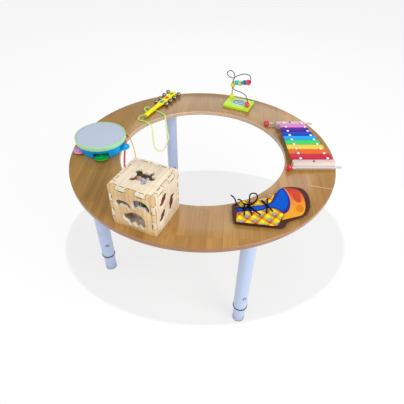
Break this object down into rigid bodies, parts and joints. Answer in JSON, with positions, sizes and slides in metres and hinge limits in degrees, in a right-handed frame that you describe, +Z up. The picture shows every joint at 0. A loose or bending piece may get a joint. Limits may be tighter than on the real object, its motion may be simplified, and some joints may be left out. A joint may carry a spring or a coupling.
{
  "type": "baby activity table",
  "caption": "Ring-shaped activity table on telescopic legs, with a jingle drum, jingle stick, bead maze, xylophone, lacing shoe and shape sorting cube around its rim.",
  "frame": {"origin": "on the floor, under the centre of the ring", "axes": "+Z up; the legs stand at 45, 135, 225 and 315 degrees; the cube is at -Y, the bead maze at +Y, the drum at -X and the xylophone at +X"},
  "size_m": [1.0092, 1, 0.6816],
  "materials": {
    "beech": "glossy lacquer",
    "tube_enamel": "satin enamel",
    "foot_rubber": "matte",
    "drum_skin": "satin film",
    "hoop_green": "gloss paint",
    "shell_blue": "gloss paint",
    "jingle_cyan": "gloss",
    "jingle_yellow": "gloss",
    "jingle_orange": "gloss",
    "jingle_pink": "gloss",
    "jingle_green": "gloss",
    "strap_orange": "woven ribbon",
    "strap_green": "woven ribbon",
    "stick_yellow": "gloss paint",
    "bell_metal": "polished",
    "maze_green": "gloss paint",
    "maze_wire": "satin",
    "bead_yellow": "gloss paint",
    "bead_red": "gloss paint",
    "bead_blue": "gloss paint",
    "bead_pale_green": "gloss paint",
    "bead_cyan": "gloss paint",
    "frame_wood": "plain, unvarnished",
    "bar_red": "gloss",
    "bar_orange": "gloss",
    "bar_yellow": "gloss",
    "bar_green": "gloss",
    "bar_light_blue": "gloss",
    "bar_blue": "gloss",
    "bar_purple": "gloss",
    "bar_pink": "gloss",
    "mallet_red": "gloss head on a pale stick",
    "shoe_print": "printed board",
    "lace_black": "matte cord",
    "pine_ply": "plain",
    "block_purple": "paint",
    "block_green": "paint",
    "block_grey": "paint"
  },
  "bodies": {
    "table": {"table_ring": "beech", "outer_tube_back_right": "tube_enamel", "outer_tube_back_left": "tube_enamel", "outer_tube_front_left": "tube_enamel", "outer_tube_front_right": "tube_enamel"},
    "leg_back_right": {"inner_tube_back_right": "tube_enamel", "foot_back_right": "foot_rubber"},
    "button_back_right": {"lock_button_back_right": "tube_enamel"},
    "leg_back_left": {"inner_tube_back_left": "tube_enamel", "foot_back_left": "foot_rubber"},
    "button_back_left": {"lock_button_back_left": "tube_enamel"},
    "leg_front_left": {"inner_tube_front_left": "tube_enamel", "foot_front_left": "foot_rubber"},
    "button_front_left": {"lock_button_front_left": "tube_enamel"},
    "leg_front_right": {"inner_tube_front_right": "tube_enamel", "foot_front_right": "foot_rubber"},
    "button_front_right": {"lock_button_front_right": "tube_enamel"},
    "drum": {"drum_shell": "shell_blue", "drum_hoop": "hoop_green", "drum_skin": "drum_skin", "drum_strap": "strap_orange"},
    "stick": {"jingle_stick": "stick_yellow", "stick_eye": "bell_metal", "stick_strap": "strap_green"},
    "maze": {"maze_base": "maze_green", "maze_wire": "maze_wire"},
    "xylophone": {"xylophone_frame": "frame_wood", "bar_red": "bar_red", "bar_orange": "bar_orange", "bar_yellow": "bar_yellow", "bar_green": "bar_green", "bar_light_blue": "bar_light_blue", "bar_blue": "bar_blue", "bar_purple": "bar_purple", "bar_pink": "bar_pink"},
    "shoe": {"shoe_board": "shoe_print", "shoe_lace": "lace_black"},
    "cube": {"cube_body": "pine_ply"},
    "jingle_1": {"drum_jingle_1": "jingle_cyan"},
    "jingle_2": {"drum_jingle_2": "jingle_yellow"},
    "jingle_3": {"drum_jingle_3": "jingle_orange"},
    "jingle_4": {"drum_jingle_4": "jingle_pink"},
    "jingle_5": {"drum_jingle_5": "jingle_green"},
    "bells_1": {"bell_pair_1": "bell_metal"},
    "bells_2": {"bell_pair_2": "bell_metal"},
    "bells_3": {"bell_pair_3": "bell_metal"},
    "bells_4": {"bell_pair_4": "bell_metal"},
    "bead_yellow_low": {"bead_yellow_low": "bead_yellow"},
    "bead_red_ball": {"bead_red_ball": "bead_red"},
    "bead_blue": {"bead_blue": "bead_blue"},
    "bead_pale_green": {"bead_pale_green": "bead_pale_green"},
    "bead_cyan": {"bead_cyan": "bead_cyan"},
    "bead_yellow_high": {"bead_yellow_high": "bead_yellow"},
    "bead_red_low": {"bead_red_low": "bead_red"},
    "mallet_near": {"mallet_near": "mallet_red"},
    "mallet_far": {"mallet_far": "mallet_red"},
    "lid": {"cube_lid": "pine_ply"},
    "block_purple": {"sorter_block_purple": "block_purple"},
    "block_green": {"sorter_block_green": "block_green"},
    "block_grey": {"sorter_block_grey": "block_grey"}
  },
  "joints": [
    {"name": "extend_leg_back_right", "type": "slide", "parent": "table", "child": "leg_back_right", "axis": [0, 0, -1], "range_m": [-0.06, 0.13]},
    {"name": "press_button_back_right", "type": "slide", "parent": "table", "child": "button_back_right", "axis": [-0.7071, 0.7071, 0], "range_m": [0, 0.003], "stiffness_N_per_m": 900, "springref_m": -0.001},
    {"name": "extend_leg_back_left", "type": "slide", "parent": "table", "child": "leg_back_left", "axis": [0, 0, -1], "range_m": [-0.06, 0.13]},
    {"name": "press_button_back_left", "type": "slide", "parent": "table", "child": "button_back_left", "axis": [-0.7071, 0.7071, 0], "range_m": [0, 0.003], "stiffness_N_per_m": 900, "springref_m": -0.001},
    {"name": "extend_leg_front_left", "type": "slide", "parent": "table", "child": "leg_front_left", "axis": [0, 0, -1], "range_m": [-0.06, 0.13]},
    {"name": "press_button_front_left", "type": "slide", "parent": "table", "child": "button_front_left", "axis": [-0.7071, 0.7071, 0], "range_m": [0, 0.003], "stiffness_N_per_m": 900, "springref_m": -0.001},
    {"name": "extend_leg_front_right", "type": "slide", "parent": "table", "child": "leg_front_right", "axis": [0, 0, -1], "range_m": [-0.06, 0.13]},
    {"name": "press_button_front_right", "type": "slide", "parent": "table", "child": "button_front_right", "axis": [-0.7071, 0.7071, 0], "range_m": [0, 0.003], "stiffness_N_per_m": 900, "springref_m": -0.001},
    {"name": "lift_drum", "type": "slide", "parent": "table", "child": "drum", "axis": [0, 0, 1], "range_m": [0, 0.2]},
    {"name": "lift_stick", "type": "slide", "parent": "table", "child": "stick", "axis": [0, 0, 1], "range_m": [0, 0.2]},
    {"name": "lift_maze", "type": "slide", "parent": "table", "child": "maze", "axis": [0, 0, 1], "range_m": [0, 0.2]},
    {"name": "lift_xylophone", "type": "slide", "parent": "table", "child": "xylophone", "axis": [0, 0, 1], "range_m": [0, 0.2]},
    {"name": "lift_shoe", "type": "slide", "parent": "table", "child": "shoe", "axis": [0, 0, 1], "range_m": [0, 0.2]},
    {"name": "lift_cube", "type": "slide", "parent": "table", "child": "cube", "axis": [0, 0, 1], "range_m": [0, 0.2]},
    {"name": "rattle_jingle_1", "type": "slide", "parent": "drum", "child": "jingle_1", "axis": [0, 0, 1], "range_m": [0, 0.012]},
    {"name": "rattle_jingle_2", "type": "slide", "parent": "drum", "child": "jingle_2", "axis": [0, 0, 1], "range_m": [0, 0.012]},
    {"name": "rattle_jingle_3", "type": "slide", "parent": "drum", "child": "jingle_3", "axis": [0, 0, 1], "range_m": [0, 0.012]},
    {"name": "rattle_jingle_4", "type": "slide", "parent": "drum", "child": "jingle_4", "axis": [0, 0, 1], "range_m": [0, 0.012]},
    {"name": "rattle_jingle_5", "type": "slide", "parent": "drum", "child": "jingle_5", "axis": [0, 0, 1], "range_m": [0, 0.012]},
    {"name": "turn_bells_1", "type": "hinge", "parent": "stick", "child": "bells_1", "pos_m": [-0.32526, 0.25932, 0.5318], "axis": [0.9995, -0.0302, 0], "continuous": true},
    {"name": "turn_bells_2", "type": "hinge", "parent": "stick", "child": "bells_2", "pos_m": [-0.32415, 0.29601, 0.5318], "axis": [0.9995, -0.0302, 0], "continuous": true},
    {"name": "turn_bells_3", "type": "hinge", "parent": "stick", "child": "bells_3", "pos_m": [-0.32304, 0.33269, 0.5318], "axis": [0.9995, -0.0302, 0], "continuous": true},
    {"name": "turn_bells_4", "type": "hinge", "parent": "stick", "child": "bells_4", "pos_m": [-0.32194, 0.36937, 0.5318], "axis": [0.9995, -0.0302, 0], "continuous": true},
    {"name": "slide_bead_yellow_low", "type": "slide", "parent": "maze", "child": "bead_yellow_low", "axis": [0, 0, 1], "range_m": [0, 0.015]},
    {"name": "spin_bead_red_ball", "type": "hinge", "parent": "maze", "child": "bead_red_ball", "pos_m": [0.03904, 0.38619, 0.65051], "axis": [-0.777, 0.3751, -0.5056], "continuous": true},
    {"name": "spin_bead_blue", "type": "hinge", "parent": "maze", "child": "bead_blue", "pos_m": [0.01921, 0.39598, 0.64224], "axis": [-0.8253, 0.4129, -0.3853], "continuous": true},
    {"name": "spin_bead_pale_green", "type": "hinge", "parent": "maze", "child": "bead_pale_green", "pos_m": [-0.00343, 0.40733, 0.63062], "axis": [-0.8364, 0.4151, -0.358], "continuous": true},
    {"name": "spin_bead_cyan", "type": "hinge", "parent": "maze", "child": "bead_cyan", "pos_m": [-0.02293, 0.41745, 0.62544], "axis": [-0.8917, 0.4526, 0.0062], "continuous": true},
    {"name": "spin_bead_yellow_high", "type": "hinge", "parent": "maze", "child": "bead_yellow_high", "pos_m": [-0.04368, 0.42644, 0.6069], "axis": [0.0363, -0.0156, -0.9992], "continuous": true},
    {"name": "spin_bead_red_low", "type": "hinge", "parent": "maze", "child": "bead_red_low", "pos_m": [0.04369, 0.38798, 0.5466], "axis": [0, 0, 1], "continuous": true},
    {"name": "pull_mallet_near", "type": "slide", "parent": "xylophone", "child": "mallet_near", "axis": [-0.9011, -0.4337, 0], "range_m": [0, 0.15]},
    {"name": "pull_mallet_far", "type": "slide", "parent": "xylophone", "child": "mallet_far", "axis": [-0.9011, -0.4337, 0], "range_m": [0, 0.15]},
    {"name": "lift_lid", "type": "slide", "parent": "cube", "child": "lid", "axis": [0, 0, 1], "range_m": [0, 0.12]},
    {"name": "shift_block_purple", "type": "slide", "parent": "cube", "child": "block_purple", "axis": [1, 0, 0], "range_m": [-0.008, 0.03]},
    {"name": "shift_block_green", "type": "slide", "parent": "cube", "child": "block_green", "axis": [1, 0, 0], "range_m": [-0.01, 0.04]},
    {"name": "shift_block_grey", "type": "slide", "parent": "cube", "child": "block_grey", "axis": [1, 0, 0], "range_m": [-0.01, 0.04]}
  ]
}
